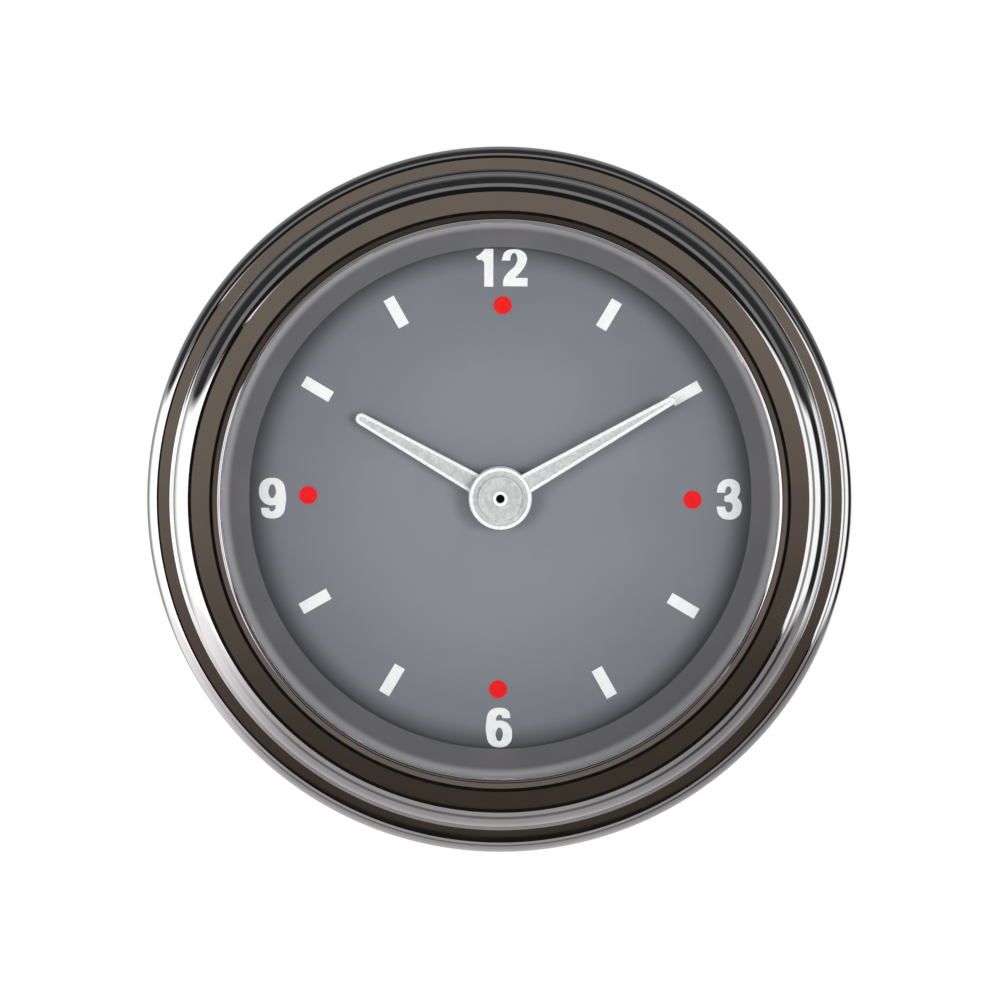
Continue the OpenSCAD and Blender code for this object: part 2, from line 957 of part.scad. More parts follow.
module minute_hand() {
  color("#d5d8d6")
    upright()
      translate([0, 0, minute_z])
        rotate(-minute_angle)
          difference() {
            union() {
              hand(minute_len, minute_w, minute_tip_w, minute_hub_d / 2);
              cylinder(r = boss_d / 2, h = hand_t + boss_h);
            }
            rod(tip_r + press, -1, hand_t + boss_h + 1);
          }
}

module hour_hand() {
  color("#d5d8d6")
    upright()
      translate([0, 0, hour_z])
        rotate(-hour_angle)
          difference() {
            union() {
              hand(hour_len, hour_w, hour_tip_w, hour_hub_d / 2);
              rod(pipe_out + 0.35, -0.6, hand_t);
            }
            rod(pipe_out + press, -1, hand_t + 1);
          }
}

// Centre arbor: drilled tip, body through both pipes, collar under the clutch, thin tail to the rear plate
module centre_arbor() {
  collar_f = centre_f - wheel_t - spring_t;
  color("silver")
    upright()
      difference() {
        union() {
          rod(tip_r, minute_z - 1, arbor_tip);
          rod(centre_r, collar_f, minute_z - 0.1);
          rod(centre_r + 0.8, collar_f - collar_t, collar_f);
          rod(tail_r, rear_b, collar_f);
        }
        rod(tip_hole_r, arbor_tip - 0.9, arbor_tip + 1);
      }
}

module cannon_pinion() {
  color("#d4b45a")
    upright()
      plate(front_f + 0.3, front_f + motion_foot + wheel_t + 0.5)
        difference() {
          pinion(cannon_n, motion_module, 0);
          circle(centre_r + press);
        }
}

module centre_wheel() {
  color("#d4b45a")
    upright()
      plate(centre_f - wheel_t, centre_f)
        wheel(centre_n, centre_module, centre_r + press, 0);
}

// Dished washer that lets the hands slip on the centre wheel while they are set
module clutch_spring() {
  r0 = centre_r + press;
  r1 = centre_r + 1.6;
  top = centre_f - wheel_t;
  color("silver")
    upright()
      rotate_extrude()
        polygon([[r0, top - spring_t], [r0 + 0.7, top - spring_t], [r1, top - 0.2], [r1, top],
          [r1 - 0.5, top], [r0, top - spring_t + 0.2]]);
}

module hour_wheel() {
  hour_f = front_f + motion_foot + 2 * wheel_t + layer_gap;
  color("#d4b45a")
    upright() {
      plate(hour_f - wheel_t, hour_f)
        wheel(hour_n, motion_module, pipe_in, hour_phase);
      tube(pipe_out, pipe_in, hour_f - wheel_t - 0.4, hour_z + hand_t);
      tube(pipe_out + 0.6, pipe_in, hour_f - wheel_t - 0.4, hour_f + 0.3);
    }
}

module minute_wheel() {
  color("#d4b45a")
    upright()
      at(setting_at)
        plate(front_f + motion_foot, front_f + motion_foot + wheel_t)
          wheel(minute_n, motion_module, setting_r + press, minute_phase);
}

// Setting arbor: minute pinion in front of the plate, and a long shank back to the knob
module setting_arbor() {
  foot = front_f + motion_foot + wheel_t;
  color("silver")
    upright()
      at(setting_at) {
        rod(setting_r, knob_f - knob_len + 1, foot + layer_gap + wheel_t);
        plate(foot, foot + layer_gap + wheel_t + 0.3)
          pinion(minute_pinion_n, motion_module, minute_phase);
      }
}

module setting_knob() {
  flutes = 18;
  knob_r = knob_d / 2;
  color("#1d1d1f")
    upright()
      at(setting_at)
        difference() {
          union() {
            rotate_extrude()
              polygon(concat(
                [[0, knob_f - knob_len]],
                arc([knob_r - 0.8, knob_f - knob_len + 0.8], 0.8, -90, 0),
                [[knob_r, knob_f - 2], [knob_r - 1, knob_f - 1.4], [knob_r - 1, knob_f], [0, knob_f]]
              ));
          }
          rod(knob_bore_r, knob_f - knob_len + 1, knob_f + 1);
          for (i = [0:flutes - 1])
            rotate(i * 360 / flutes)
              translate([knob_r + 0.25, 0])
                rod(0.6, knob_f - knob_len - 1, knob_f - 2.6);
          translate([0, 0, knob_f - 1])
            rotate([0, 90, 10])
              cylinder(r = 0.5 + press, h = knob_r);
        }
}

// Grub screw that fixes the knob on its arbor
module knob_screw() {
  color("silver")
    upright()
      at(setting_at)
        translate([0, 0, knob_f - 1])
          rotate([0, 90, 10])
            translate([0, 0, setting_r + 0.05])
              cylinder(r = 0.5, h = knob_d / 2 - 1.4 - setting_r);
}

module third_wheel() {
  color("#d4b45a")
    upright()
      at(third_at)
        plate(third_f - wheel_t, third_f)
          wheel(train_n, train_module, thin_r + press, third_phase);
}

module third_arbor() {
  color("silver")
    upright()
      at(third_at) {
        rod(thin_r, rear_b, front_f);
        plate(centre_f - wheel_t - 0.3, centre_f + 0.3)
          pinion(pinion_n, centre_module, third_phase);
      }
}

module intermediate_wheel() {
  color("#d4b45a")
    upright()
      at(inter_at)
        plate(inter_f - wheel_t, inter_f)
          wheel(train_n, train_module, thin_r + press, inter_phase);
}

module intermediate_arbor() {
  color("silver")
    upright()
      at(inter_at) {
        rod(thin_r, rear_b, front_f);
        plate(third_f - wheel_t - 0.3, third_f + 0.3)
          pinion(pinion_n, train_module, inter_phase);
      }
}

module rotor_magnet() {
  color("#4a4c50")
    upright()
      at(rotor_at)
        tube(rotor_d / 2, thin_r + press, stator_b - 0.2, stator_f + 0.2);
}

module rotor_arbor() {
  color("silver")
    upright()
      at(rotor_at) {
        rod(thin_r, rear_b, front_f);
        plate(inter_f - wheel_t - 0.2, inter_f + 0.3)
          pinion(pinion_n, train_module, rotor_phase);
      }
}

// Twist-lock lamp holder: two lugs behind the wall, a flange outside it and a finger grip
module lamp_holder() {
  seat = back_out - lamp_gap;
  flange_b = seat - holder_flange_t;
  color("#3a3a3d")
    upright()
      at(lamp_at)
        difference() {
          union() {
            rod(neck_r, seat - 0.5, socket_f);
            plate(back_in + lamp_gap, back_in + lamp_gap + lug_t)
              intersection() {
                circle(lug_r);
                square([3 * lug_r, lug_w], center = true);
              }
            rod(holder_flange_r, flange_b, seat);
            plate(flange_b - grip_len, flange_b)
              square([2 * neck_r, grip_t], center = true);
            rod(grip_r, flange_b - grip_len, flange_b);
          }
          rod(bulb_d / 2 + run, seat - 1, socket_f + 1);
          for (s = [-1, 1])
            at([s * tab_x, 0])
              plate(flange_b - grip_len - 1, seat - 1.2)
                square([tab_wide, tab_thick] + 2 * [slot_gap, slot_gap], center = true);
        }
}

module lamp_bulb() {
  color([1, 0.97, 0.88, 0.5])
    upright()
      at(lamp_at) {
        rod(bulb_d / 2, back_out - lamp_gap - 1 + press, socket_f + bulb_len - bulb_d / 2);
        translate([0, 0, socket_f + bulb_len - bulb_d / 2])
          sphere(r = bulb_d / 2);
      }
}

module lamp_tabs() {
  seat = back_out - lamp_gap;
  color("#d9c27a")
    upright()
      at(lamp_at)
        for (s = [-1, 1])
          at([s * tab_x, 0])
            plate(seat - holder_flange_t - grip_len - tab_len, seat - 1.3)
              square([tab_wide, tab_thick], center = true);
}

bezel();
lens_gasket();
glass_lens();
dial_ring();
dial();
hour_bars();
quarter_dots();
case();
front_plate();
rear_plate();
plate_pillars();
front_bushes();
rear_bushes();
coil_bobbin();
coil_winding();
coil_core();
coil_pins();
stator();
core_screws();
circuit_board();
quartz_crystal();
driver_chip();
smoothing_capacitor();
trimmer_capacitor();
board_spacers();
case_screws();
mounting_studs();
supply_terminals();
setting_bush();
minute_hand();
centre_arbor();
cannon_pinion();
centre_wheel();
clutch_spring();
hour_hand();
hour_wheel();
minute_wheel();
setting_arbor();
setting_knob();
knob_screw();
third_wheel();
third_arbor();
intermediate_wheel();
intermediate_arbor();
rotor_magnet();
rotor_arbor();
lamp_holder();
lamp_bulb();
lamp_tabs();
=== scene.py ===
import bmesh
import bpy
import math
from mathutils import Matrix, Vector


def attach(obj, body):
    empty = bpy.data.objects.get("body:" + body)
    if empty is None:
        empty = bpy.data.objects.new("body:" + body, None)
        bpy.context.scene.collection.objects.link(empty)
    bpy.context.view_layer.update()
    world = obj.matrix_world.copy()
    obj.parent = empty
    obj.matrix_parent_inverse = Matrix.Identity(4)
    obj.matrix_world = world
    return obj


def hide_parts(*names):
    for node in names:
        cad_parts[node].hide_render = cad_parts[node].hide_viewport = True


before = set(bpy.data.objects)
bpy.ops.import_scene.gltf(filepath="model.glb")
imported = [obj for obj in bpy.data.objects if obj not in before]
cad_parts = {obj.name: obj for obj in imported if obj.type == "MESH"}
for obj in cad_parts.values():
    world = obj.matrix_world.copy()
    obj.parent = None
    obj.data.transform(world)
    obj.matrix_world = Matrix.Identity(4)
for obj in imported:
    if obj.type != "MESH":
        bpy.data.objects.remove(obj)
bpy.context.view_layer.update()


# Case: one moulding with barrel, flange, glass collar, screw bosses and rear wall.
# Black glass-filled nylon; the mould leaves a fine even grain outside and slightly round edges.
mm = 0.001


class Sock:
    """A socket in a node tree, so that shader maths reads as arithmetic."""

    def __init__(self, tree, socket):
        self.tree, self.socket = tree, socket

    def node(self, kind, settings, sockets, out=0):
        n = self.tree.nodes.new("ShaderNode" + kind)
        for key, value in settings.items():
            setattr(n, key, value)
        for key, value in sockets.items():
            if isinstance(value, Sock):
                self.tree.links.new(value.socket, n.inputs[key])
            else:
                n.inputs[key].default_value = value
        return Sock(self.tree, n.outputs[out])

    def maths(self, operation, a, b=0.0):
        return self.node("Math", {"operation": operation}, {0: a, 1: b})

    def __add__(self, other):
        return self.maths("ADD", self, other)

    def __sub__(self, other):
        return self.maths("SUBTRACT", self, other)

    def __rsub__(self, other):
        return self.maths("SUBTRACT", other, self)

    def __mul__(self, other):
        return self.maths("MULTIPLY", self, other)

    def __pow__(self, other):
        return self.maths("POWER", self, other)

    __radd__, __rmul__ = __add__, __mul__

    def ease(self, low, high, to_low=0.0, to_high=1.0):
        """A smooth step from to_low to to_high while the value goes from low to high."""
        return self.node("MapRange", {"interpolation_type": "SMOOTHSTEP"},
                         {0: self, 1: low, 2: high, 3: to_low, 4: to_high})

    def spread(self, to_low=0.0, to_high=1.0):
        """Noise lies mostly between 0.3 and 0.7: that part, spread from to_low to to_high."""
        return self.ease(0.3, 0.7, to_low, to_high)

    def noise(self, scale, detail=2.0, stretch=(1, 1, 1)):
        spot = self.node("Mapping", {}, {"Vector": self, "Scale": stretch})
        return self.node("TexNoise", {}, {"Vector": spot, "Scale": scale, "Detail": detail})

    def blend(self, *colours):
        """From the first colour to the second while the value goes from 0 to 1."""
        one, two = ((*c, 1) if isinstance(c, tuple) else c for c in colours)
        return self.node("Mix", {"data_type": "RGBA"}, {0: self, 6: one, 7: two}, out=2)

    def bump(self, depth, strength):
        return self.node("Bump", {}, {"Strength": strength, "Distance": depth, "Height": self})


def new_finish(name, fixed):
    """A material with its even values set, and the coordinates that its pattern starts from."""
    finish = bpy.data.materials.new(name)
    finish.use_nodes = True
    tree = finish.node_tree
    for key, value in fixed.items():
        tree.nodes["Principled BSDF"].inputs[key].default_value = value
    return finish, Sock(tree, tree.nodes.new("ShaderNodeTexCoord").outputs["Object"])


def lay(finish, sockets):
    """Links what changes over the surface to the finish's shader."""
    tree = finish.node_tree
    for key, value in sockets.items():
        tree.links.new(value.socket, tree.nodes["Principled BSDF"].inputs[key])


def mesh_of(bm, name):
    mesh = bpy.data.meshes.new(name)
    bm.to_mesh(mesh)
    bm.free()
    return mesh


def put_in(name, data):
    """A new object in the scene that has this mesh, curve, light or camera."""
    made = bpy.data.objects.new(name, data)
    bpy.context.scene.collection.objects.link(made)
    return made


def piece(bm, name, body, slot, *finishes, crease=45):
    """A finished piece, smooth but for its creases, that moves with a body."""
    mesh = mesh_of(bm, name)
    mesh.shade_smooth()
    mesh.set_sharp_from_angle(angle=math.radians(crease))
    for finish in finishes:
        mesh.materials.append(finish)
    made = put_in(name, mesh)
    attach(made, body)
    return made


def even_light(made):
    """Keeps a flat face flat to the light where it runs into a small round."""
    smooth = made.modifiers.new("even_light", "WEIGHTED_NORMAL")
    smooth.keep_sharp = True
    return made


def softened(node, edge, name, body, slot, finish):
    """A piece that stands for a node: the node's own shape, welded, its edges broken to a round."""
    weld, level, keen = 0.002 * mm, math.radians(0.4), math.radians(38)
    bm = bmesh.new()
    bm.from_mesh(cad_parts[node].data)
    bmesh.ops.remove_doubles(bm, verts=bm.verts[:], dist=weld)
    bmesh.ops.dissolve_limit(bm, angle_limit=level, verts=bm.verts[:], edges=bm.edges[:])
    edges = [e for e in bm.edges if len(e.link_faces) == 2 and e.calc_face_angle() > keen]
    bmesh.ops.bevel(bm, geom=edges, offset=edge, offset_type="OFFSET", segments=2, profile=0.5,
                    affect="EDGES", clamp_overlap=True, material=-1)
    made = even_light(piece(bm, name, body, slot, finish))
    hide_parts(node)


def moulded(name, dark, light, rough, grain):
    finish, at = new_finish(name, {"Specular IOR Level": 0.45})
    cloud, fine = at.noise(160, 3.0), at.noise(grain)
    lay(finish, {
        "Base Color": cloud.ease(0.35, 0.65).blend(dark, light),
        "Roughness": cloud.spread(rough - 0.015, rough + 0.02),
        "Normal": fine.bump(0.012 * mm, 0.6),
    })
    return finish


case_nylon = moulded("case_nylon", (0.023, 0.023, 0.025), (0.027, 0.027, 0.029), 0.42, 9000)
softened("case", 0.18 * mm, "case_moulding", "instrument", "case_plastic", case_nylon)


# Mounting studs: two steel studs pressed through the rear wall, square head inside and a rolled
# thread outside. Zinc plated, with the faint yellow and blue cast of the passivation.
def plated(name, warm, cool, rough):
    finish, at = new_finish(name, {"Metallic": 1.0})
    cloud, fine = at.noise(420, 3.0), at.noise(6000)
    lay(finish, {
        "Base Color": cloud.spread().blend(warm, cool),
        "Roughness": fine.spread(rough - 0.03, rough + 0.04),
        "Normal": fine.bump(0.001 * mm, 0.4),
    })
    return finish


def turned(bm, section, aside=0.0, steps=96):
    """Adds a shape turned about an axis along Y: corners are (radius, y, round), all in mm."""
    weld, on_axis = 0.0005 * mm, 1e-9
    blank = bmesh.new()
    corners = [blank.verts.new((r * mm, y * mm, 0)) for r, y, _ in section]
    blank.faces.new(corners)
    for corner, (_, _, round_off) in zip(corners, section):
        if round_off:
            bmesh.ops.bevel(blank, geom=[corner], offset=round_off * mm, offset_type="OFFSET",
                            segments=10, profile=0.5, affect="VERTICES", material=-1)
    bmesh.ops.delete(blank, geom=blank.faces[:], context="FACES_ONLY")
    core = [e for e in blank.edges if all(abs(v.co.x) < on_axis for v in e.verts)]
    bmesh.ops.delete(blank, geom=core, context="EDGES")
    bmesh.ops.spin(blank, geom=blank.verts[:] + blank.edges[:], cent=(0, 0, 0), axis=(0, 1, 0),
                   dvec=(0, 0, 0), angle=2 * math.pi, steps=steps, use_merge=True)
    bmesh.ops.remove_doubles(blank, verts=blank.verts[:], dist=weld)
    bmesh.ops.recalc_face_normals(blank, faces=blank.faces[:])
    bmesh.ops.translate(blank, vec=(aside, 0, 0), verts=blank.verts[:])
    shape = mesh_of(blank, "turning")
    bm.from_mesh(shape)
    bpy.data.meshes.remove(shape)
    return bm


zinc = plated("zinc_plate", (0.64, 0.63, 0.60), (0.58, 0.61, 0.66), 0.26)
stud_aside, head_width, head_thick, head_middle = 17 * mm, 6.4 * mm, 2 * mm, 33 * mm
shank_section = [(0, 34, 0), (2.4, 34, 0), (2.4, 36, 0), (1.6, 36, 0.05),
                 (1.6, 49.4, 0.1), (1.05, 50, 0.1), (0, 50, 0)]
ridge_section = [(1.55, 36.15), (1.99, 36.4), (1.99, 36.5), (1.55, 36.75)]
thread_pitch, thread_turns, turn_steps = 0.7 * mm, 18, 24
studs = bmesh.new()
for side in (-stud_aside, stud_aside):
    turned(studs, shank_section, aside=side, steps=48)
    head = bmesh.ops.create_cube(studs, size=1)["verts"]
    bmesh.ops.scale(studs, vec=(head_width, head_thick, head_width), verts=head)
    bmesh.ops.translate(studs, vec=(side, head_middle, 0), verts=head)
    ridge = [studs.verts.new((side + r * mm, y * mm, 0)) for r, y in ridge_section]
    loop = [studs.edges.new(pair) for pair in zip(ridge, ridge[1:] + ridge[:1])]
    wound = bmesh.ops.spin(studs, geom=ridge + loop, cent=(side, 0, 0), axis=(0, 1, 0),
                           dvec=(0, thread_pitch / turn_steps, 0),
                           angle=2 * math.pi * thread_turns, steps=thread_turns * turn_steps)
    ends = loop + [g for g in wound["geom_last"] if isinstance(g, bmesh.types.BMEdge)]
    bmesh.ops.holes_fill(studs, edges=ends, sides=4)
bmesh.ops.recalc_face_normals(studs, faces=studs.faces[:])
studs = piece(studs, "threaded_studs", "instrument", "zinc_steel", zinc, crease=35)
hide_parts("mounting_studs")


# Supply blades: two flat blades, blanked from tinned brass sheet, that take push-on connectors.
# The tail inside is soldered to the board; the press leaves a fine draw grain along the blade.
def drawn(name, dark, light, rough, stretch):
    finish, at = new_finish(name, {"Metallic": 1.0})
    streak, spot = at.noise(900, 3.0, stretch), at.noise(300)
    lay(finish, {
        "Base Color": (streak * 0.6 + spot * 0.4).ease(0.35, 0.65).blend(dark, light),
        "Roughness": streak.spread(rough - 0.06, rough + 0.08),
        "Normal": streak.bump(0.004 * mm, 0.5),
    })
    return finish


tinned = drawn("tinned_brass", (0.70, 0.62, 0.43), (0.80, 0.75, 0.62), 0.27, (1, 0.06, 1))
softened("supply_terminals", 0.08 * mm, "supply_blades", "instrument", "blade_brass", tinned)


# Setting bush: a flanged bearing for the setting arbor, pressed into the rear wall.
# Brass, turned from bar, so faint tool rings run round it.
def turned_metal(name, dark, light, rough):
    finish, at = new_finish(name, {"Metallic": 1.0})
    ring, spot = at.noise(5200, stretch=(0.35, 1.0, 0.35)), at.noise(500)
    lay(finish, {
        "Base Color": spot.ease(0.35, 0.65).blend(dark, light),
        "Roughness": ring.spread(rough - 0.06, rough + 0.06),
        "Normal": ring.bump(0.003 * mm, 0.5),
    })
    return finish


bush_brass = turned_metal("bush_brass", (0.72, 0.53, 0.22), (0.83, 0.66, 0.32), 0.24)
softened("setting_bush", 0.1 * mm, "setting_bearing", "instrument", "bush_brass", bush_brass)


# Movement plates and pillars: two round brass plates, brushed one way before the holes are
# pierced, held apart by four turned steel pillars, with bushes pressed in for the arbors.
def dress(finish, *nodes):
    """Gives a node that keeps its CAD shape its finish."""
    for node in nodes:
        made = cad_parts[node]
        if not made.material_slots:
            made.data.materials.append(finish)
        for held in made.material_slots:
            held.material = finish


plate_brass = drawn("plate_brass", (0.66, 0.50, 0.21), (0.78, 0.62, 0.30), 0.30, (0.05, 1, 1))
steel = turned_metal("arbor_steel", (0.50, 0.51, 0.53), (0.66, 0.67, 0.69), 0.22)
dress(plate_brass, "front_plate", "rear_plate")
dress(bush_brass, "front_bushes", "rear_bushes")
dress(steel, "plate_pillars", "board_spacers")


# Stepping motor: soft-iron stator and core, a coil of enamelled copper on a nylon bobbin with
# two tinned pins, two slotted screws, and a sintered magnet on the rotor.
iron = drawn("soft_iron", (0.34, 0.35, 0.37), (0.48, 0.49, 0.51), 0.42, (1, 1, 0.08))
bobbin_nylon = moulded("bobbin_nylon", (0.72, 0.69, 0.58), (0.82, 0.79, 0.69), 0.45, 7000)
magnet = moulded("sintered_magnet", (0.045, 0.046, 0.050), (0.075, 0.076, 0.082), 0.38, 12000)
copper, at = new_finish("coil_copper", {"Metallic": 1.0})
layer = at.node("TexWave", {"bands_direction": "Z"},
                {"Vector": at, "Scale": 3200.0, "Distortion": 0.6, "Detail": 1.0}, out=1)
lay(copper, {
    "Base Color": layer.blend((0.30, 0.10, 0.035), (0.62, 0.27, 0.11)),
    "Roughness": layer.ease(0.0, 1.0, 0.38, 0.24),
    "Normal": layer.bump(0.02 * mm, 0.8),
})
dress(iron, "stator", "coil_core")
dress(bobbin_nylon, "coil_bobbin")
dress(copper, "coil_winding")
dress(tinned, "coil_pins")
dress(zinc, "core_screws")
dress(magnet, "rotor_magnet")


# Going train and motion works: wheels blanked and cut from hard brass, pinions cut on steel
# arbors, with a dished steel washer as the clutch that lets the hands slip while they are set.
wheel_brass = turned_metal("wheel_brass", (0.70, 0.54, 0.24), (0.82, 0.68, 0.36), 0.26)
dress(wheel_brass, "cannon_pinion", "centre_wheel", "hour_wheel", "minute_wheel", "third_wheel",
      "intermediate_wheel")
dress(steel, "setting_arbor", "third_arbor", "intermediate_arbor", "rotor_arbor", "clutch_spring")


# Circuit board and its parts: green glass laminate, a drawn crystal can, a black moulded chip, a
# blue-sleeved smoothing capacitor and a yellow trimmer, all soldered on.
laminate, at = new_finish("board_laminate", {"Coat Weight": 0.3, "Coat Roughness": 0.2})
warp, weft = (at.node("TexWave", {"bands_direction": way}, {"Vector": at, "Scale": 900.0}, out=1)
              for way in "XZ")
weave = warp * weft
lay(laminate, {
    "Base Color": weave.blend((0.018, 0.110, 0.045), (0.028, 0.150, 0.062)),
    "Roughness": weave.ease(0.0, 1.0, 0.42, 0.34),
    "Normal": weave.bump(0.01 * mm, 0.5),
})
sleeve = moulded("capacitor_sleeve", (0.020, 0.035, 0.110), (0.030, 0.050, 0.150), 0.28, 3000)
trimmer = moulded("trimmer_yellow", (0.62, 0.46, 0.06), (0.74, 0.58, 0.11), 0.32, 6000)
chip = moulded("chip_black", (0.016, 0.016, 0.017), (0.026, 0.026, 0.027), 0.5, 11000)
can = drawn("drawn_can", (0.60, 0.61, 0.62), (0.72, 0.73, 0.74), 0.25, (1, 0.1, 1))
dress(laminate, "circuit_board")
dress(can, "quartz_crystal")
dress(chip, "driver_chip")
dress(sleeve, "smoothing_capacitor")
dress(trimmer, "trimmer_capacitor")


# Case screws: four long slotted cheese-head screws of zinc-plated steel. They go through the
# rear wall into the pillars and hold the movement in the case.
softened("case_screws", 0.12 * mm, "case_screws_slotted", "instrument", "zinc_steel", zinc)


# Lamp: a twist-lock holder moulded in dark grey nylon with a finger grip, two brass contact
# tabs, and a capless glass bulb that lights the dial from behind the plates.
holder_nylon = moulded("holder_nylon", (0.040, 0.040, 0.043), (0.056, 0.056, 0.060), 0.4, 8000)
softened("lamp_holder", 0.18 * mm, "lamp_twist_holder", "lamp", "holder_plastic", holder_nylon)
softened("lamp_tabs", 0.06 * mm, "lamp_contact_tabs", "lamp", "blade_brass", tinned)


def towards_edge(at):
    """How far a surface turns away, from 0 where it is faced to 1 at its outline."""
    return at.node("LayerWeight", {}, {"Blend": 0.5}, out=1)


bulb_glass, at = new_finish("bulb_glass", {"Metallic": 1.0, "Base Color": (0.95, 0.94, 0.90, 1)})
wisp = at.noise(400)
lay(bulb_glass, {
    "Alpha": towards_edge(at) ** 3 * 0.8 + wisp.spread(0.06, 0.10),
    "Roughness": wisp.spread(0.03, 0.06),
})
dress(bulb_glass, "lamp_bulb")


# Dial: a thin aluminium disc sprayed satin blue-grey, with two feet that locate in the front plate.
# Its colour is darkened outward from the centre and sharply at its edge: painted shade from the
# ring and bezel.
def from_axis(at):
    """How far a point lies from the clock's axis."""
    flat = at.node("VectorMath", {"operation": "MULTIPLY"}, {0: at, 1: (1, 0, 1)})
    return at.node("VectorMath", {"operation": "LENGTH"}, {0: flat}, out=1)


dial_paint, at = new_finish("dial_grey", {"Specular IOR Level": 0.3})
cloud, peel, outward = at.noise(90, 3.0), at.noise(8000), from_axis(at)
centre = cloud.spread().blend((0.228, 0.242, 0.271), (0.242, 0.256, 0.285))
middle = cloud.spread().blend((0.186, 0.198, 0.223), (0.200, 0.212, 0.237))
# painted shade: the grey darkens from the centre outward
painted_shade_field = outward.ease(7 * mm, 20 * mm).blend(centre, middle)
lay(dial_paint, {
    # painted shade: a dark band at the edge, where the ring overhangs the dial
    "Base Color": outward.ease(19.3 * mm, 21.6 * mm).blend(painted_shade_field, (0.088, 0.093, 0.104)),
    "Roughness": peel.spread(0.50, 0.60),
    "Normal": peel.bump(0.002 * mm, 0.3),
})
dress(dial_paint, "dial")


# Hour marks: eight white bars and four red quarter dots on the painted dial.
# Pad printed in opaque ink, which dries a little uneven.
def ink(name, thin, full):
    finish, at = new_finish(name, {"Specular IOR Level": 0.15})
    cover = at.noise(2600, 3.0)
    lay(finish, {
        "Base Color": cover.ease(0.3, 0.62).blend(thin, full),
        "Roughness": cover.spread(0.42, 0.56),
        "Normal": cover.bump(0.006 * mm, 0.5),
    })
    return finish


white_ink = ink("white_ink", (0.90, 0.90, 0.91), (0.95, 0.95, 0.95))
red_ink = ink("red_ink", (0.82, 0.008, 0.010), (0.90, 0.010, 0.012))
dress(white_ink, "hour_bars")
dress(red_ink, "quarter_dots")


# Numerals: plain heavy condensed 12, 3, 6 and 9, pad printed in the same white ink.
# Each outline is drawn on a grid 100 high; "k" marks a sharp corner and "s" a smooth point.
one = [[("k", 46, 100), ("k", 47, 0), ("k", 23, 0), ("k", 22, 64), ("s", 16, 70), ("k", 6, 70),
        ("k", 0, 79), ("s", 13, 88), ("k", 23, 100)]]
two = [[("k", 24, 69), ("s", 25, 80), ("s", 34, 90), ("s", 42, 79), ("s", 38, 58), ("s", 17, 36),
        ("s", 6, 18), ("k", 5, 0), ("k", 71, 0), ("k", 71, 23), ("k", 37, 23), ("s", 56, 44),
        ("s", 67, 64), ("s", 68, 80), ("s", 56, 95), ("s", 34, 100), ("s", 10, 93), ("k", 0, 69)]]
three = [[("k", 0, 66), ("s", 6, 88), ("s", 29, 100), ("s", 51, 92), ("s", 57, 76), ("s", 55, 63),
          ("k", 50, 55), ("s", 59, 45), ("s", 61.5, 28), ("s", 54, 9), ("s", 29, 0), ("s", 7, 10),
          ("k", 0, 32), ("k", 21, 32), ("s", 24, 22), ("s", 31, 18), ("s", 39, 29), ("s", 36, 41),
          ("k", 24, 43.5), ("k", 19, 46), ("k", 19, 58), ("k", 26, 60), ("s", 34, 66),
          ("s", 35.5, 75), ("s", 29, 82), ("s", 23, 77), ("k", 21, 66)]]
nine = [[("s", 32, 100), ("s", 56, 91), ("s", 65, 66), ("s", 65.5, 36), ("s", 57, 9), ("s", 32, 0),
         ("s", 10, 8), ("k", 5, 26), ("k", 25, 26), ("s", 28, 19), ("s", 33, 17.5), ("s", 40, 24),
         ("k", 41, 33), ("s", 24, 33), ("s", 7, 44), ("s", 0, 67), ("s", 8, 91)],
        [("s", 32, 84), ("s", 24, 72), ("s", 24.5, 59), ("s", 32, 50), ("s", 40, 59),
         ("s", 41, 72)]]
nine_width, grid = 65.5, 100
six = [[(kind, nine_width - x, grid - y) for kind, x, y in contour] for contour in nine]
# The figure's height, its left edge or else its middle across, and its middle up, in mm.
places = [(one, 3.24, -2.35, None, 19.70), (two, 3.18, -0.15, None, 19.73),
          (three, 3.50, None, 19.65, 0.08), (nine, 3.50, None, -19.56, -0.30),
          (six, 3.42, None, 0.16, -19.80)]
dial_face, half_ink = 3.35 * mm, 0.02 * mm
upright = Matrix.Rotation(math.radians(90), 4, "X")
figures = bmesh.new()
for outline, height, left, across, up in places:
    sheet = bpy.data.curves.new("figure", "CURVE")
    sheet.dimensions, sheet.fill_mode = "2D", "BOTH"
    sheet.resolution_u, sheet.extrude = 10, half_ink
    for contour in outline:
        line = sheet.splines.new("BEZIER")
        line.bezier_points.add(len(contour) - 1)
        line.use_cyclic_u = True
        for point, (kind, x, y) in zip(line.bezier_points, contour):
            point.co = (x * height / grid * mm, (y / grid - 0.5) * height * mm, 0)
            bend = "AUTO" if kind == "s" else "VECTOR"
            point.handle_left_type = point.handle_right_type = bend
    figure = put_in("figure", sheet)
    bpy.context.view_layer.update()
    shown = figure.evaluated_get(bpy.context.evaluated_depsgraph_get())
    flat = bpy.data.meshes.new_from_object(shown)
    bpy.data.objects.remove(figure)
    wide = max(v.co.x for v in flat.vertices) - min(v.co.x for v in flat.vertices)
    start = left * mm if across is None else across * mm - wide / 2
    flat.transform(Matrix.Translation((start, dial_face - half_ink, up * mm)) @ upright)
    figures.from_mesh(flat)
    bpy.data.meshes.remove(flat)
bmesh.ops.remove_doubles(figures, verts=figures.verts[:], dist=0.001 * mm)
bmesh.ops.recalc_face_normals(figures, faces=figures.faces[:])
piece(figures, "printed_numerals", "instrument", "white_ink", white_ink)


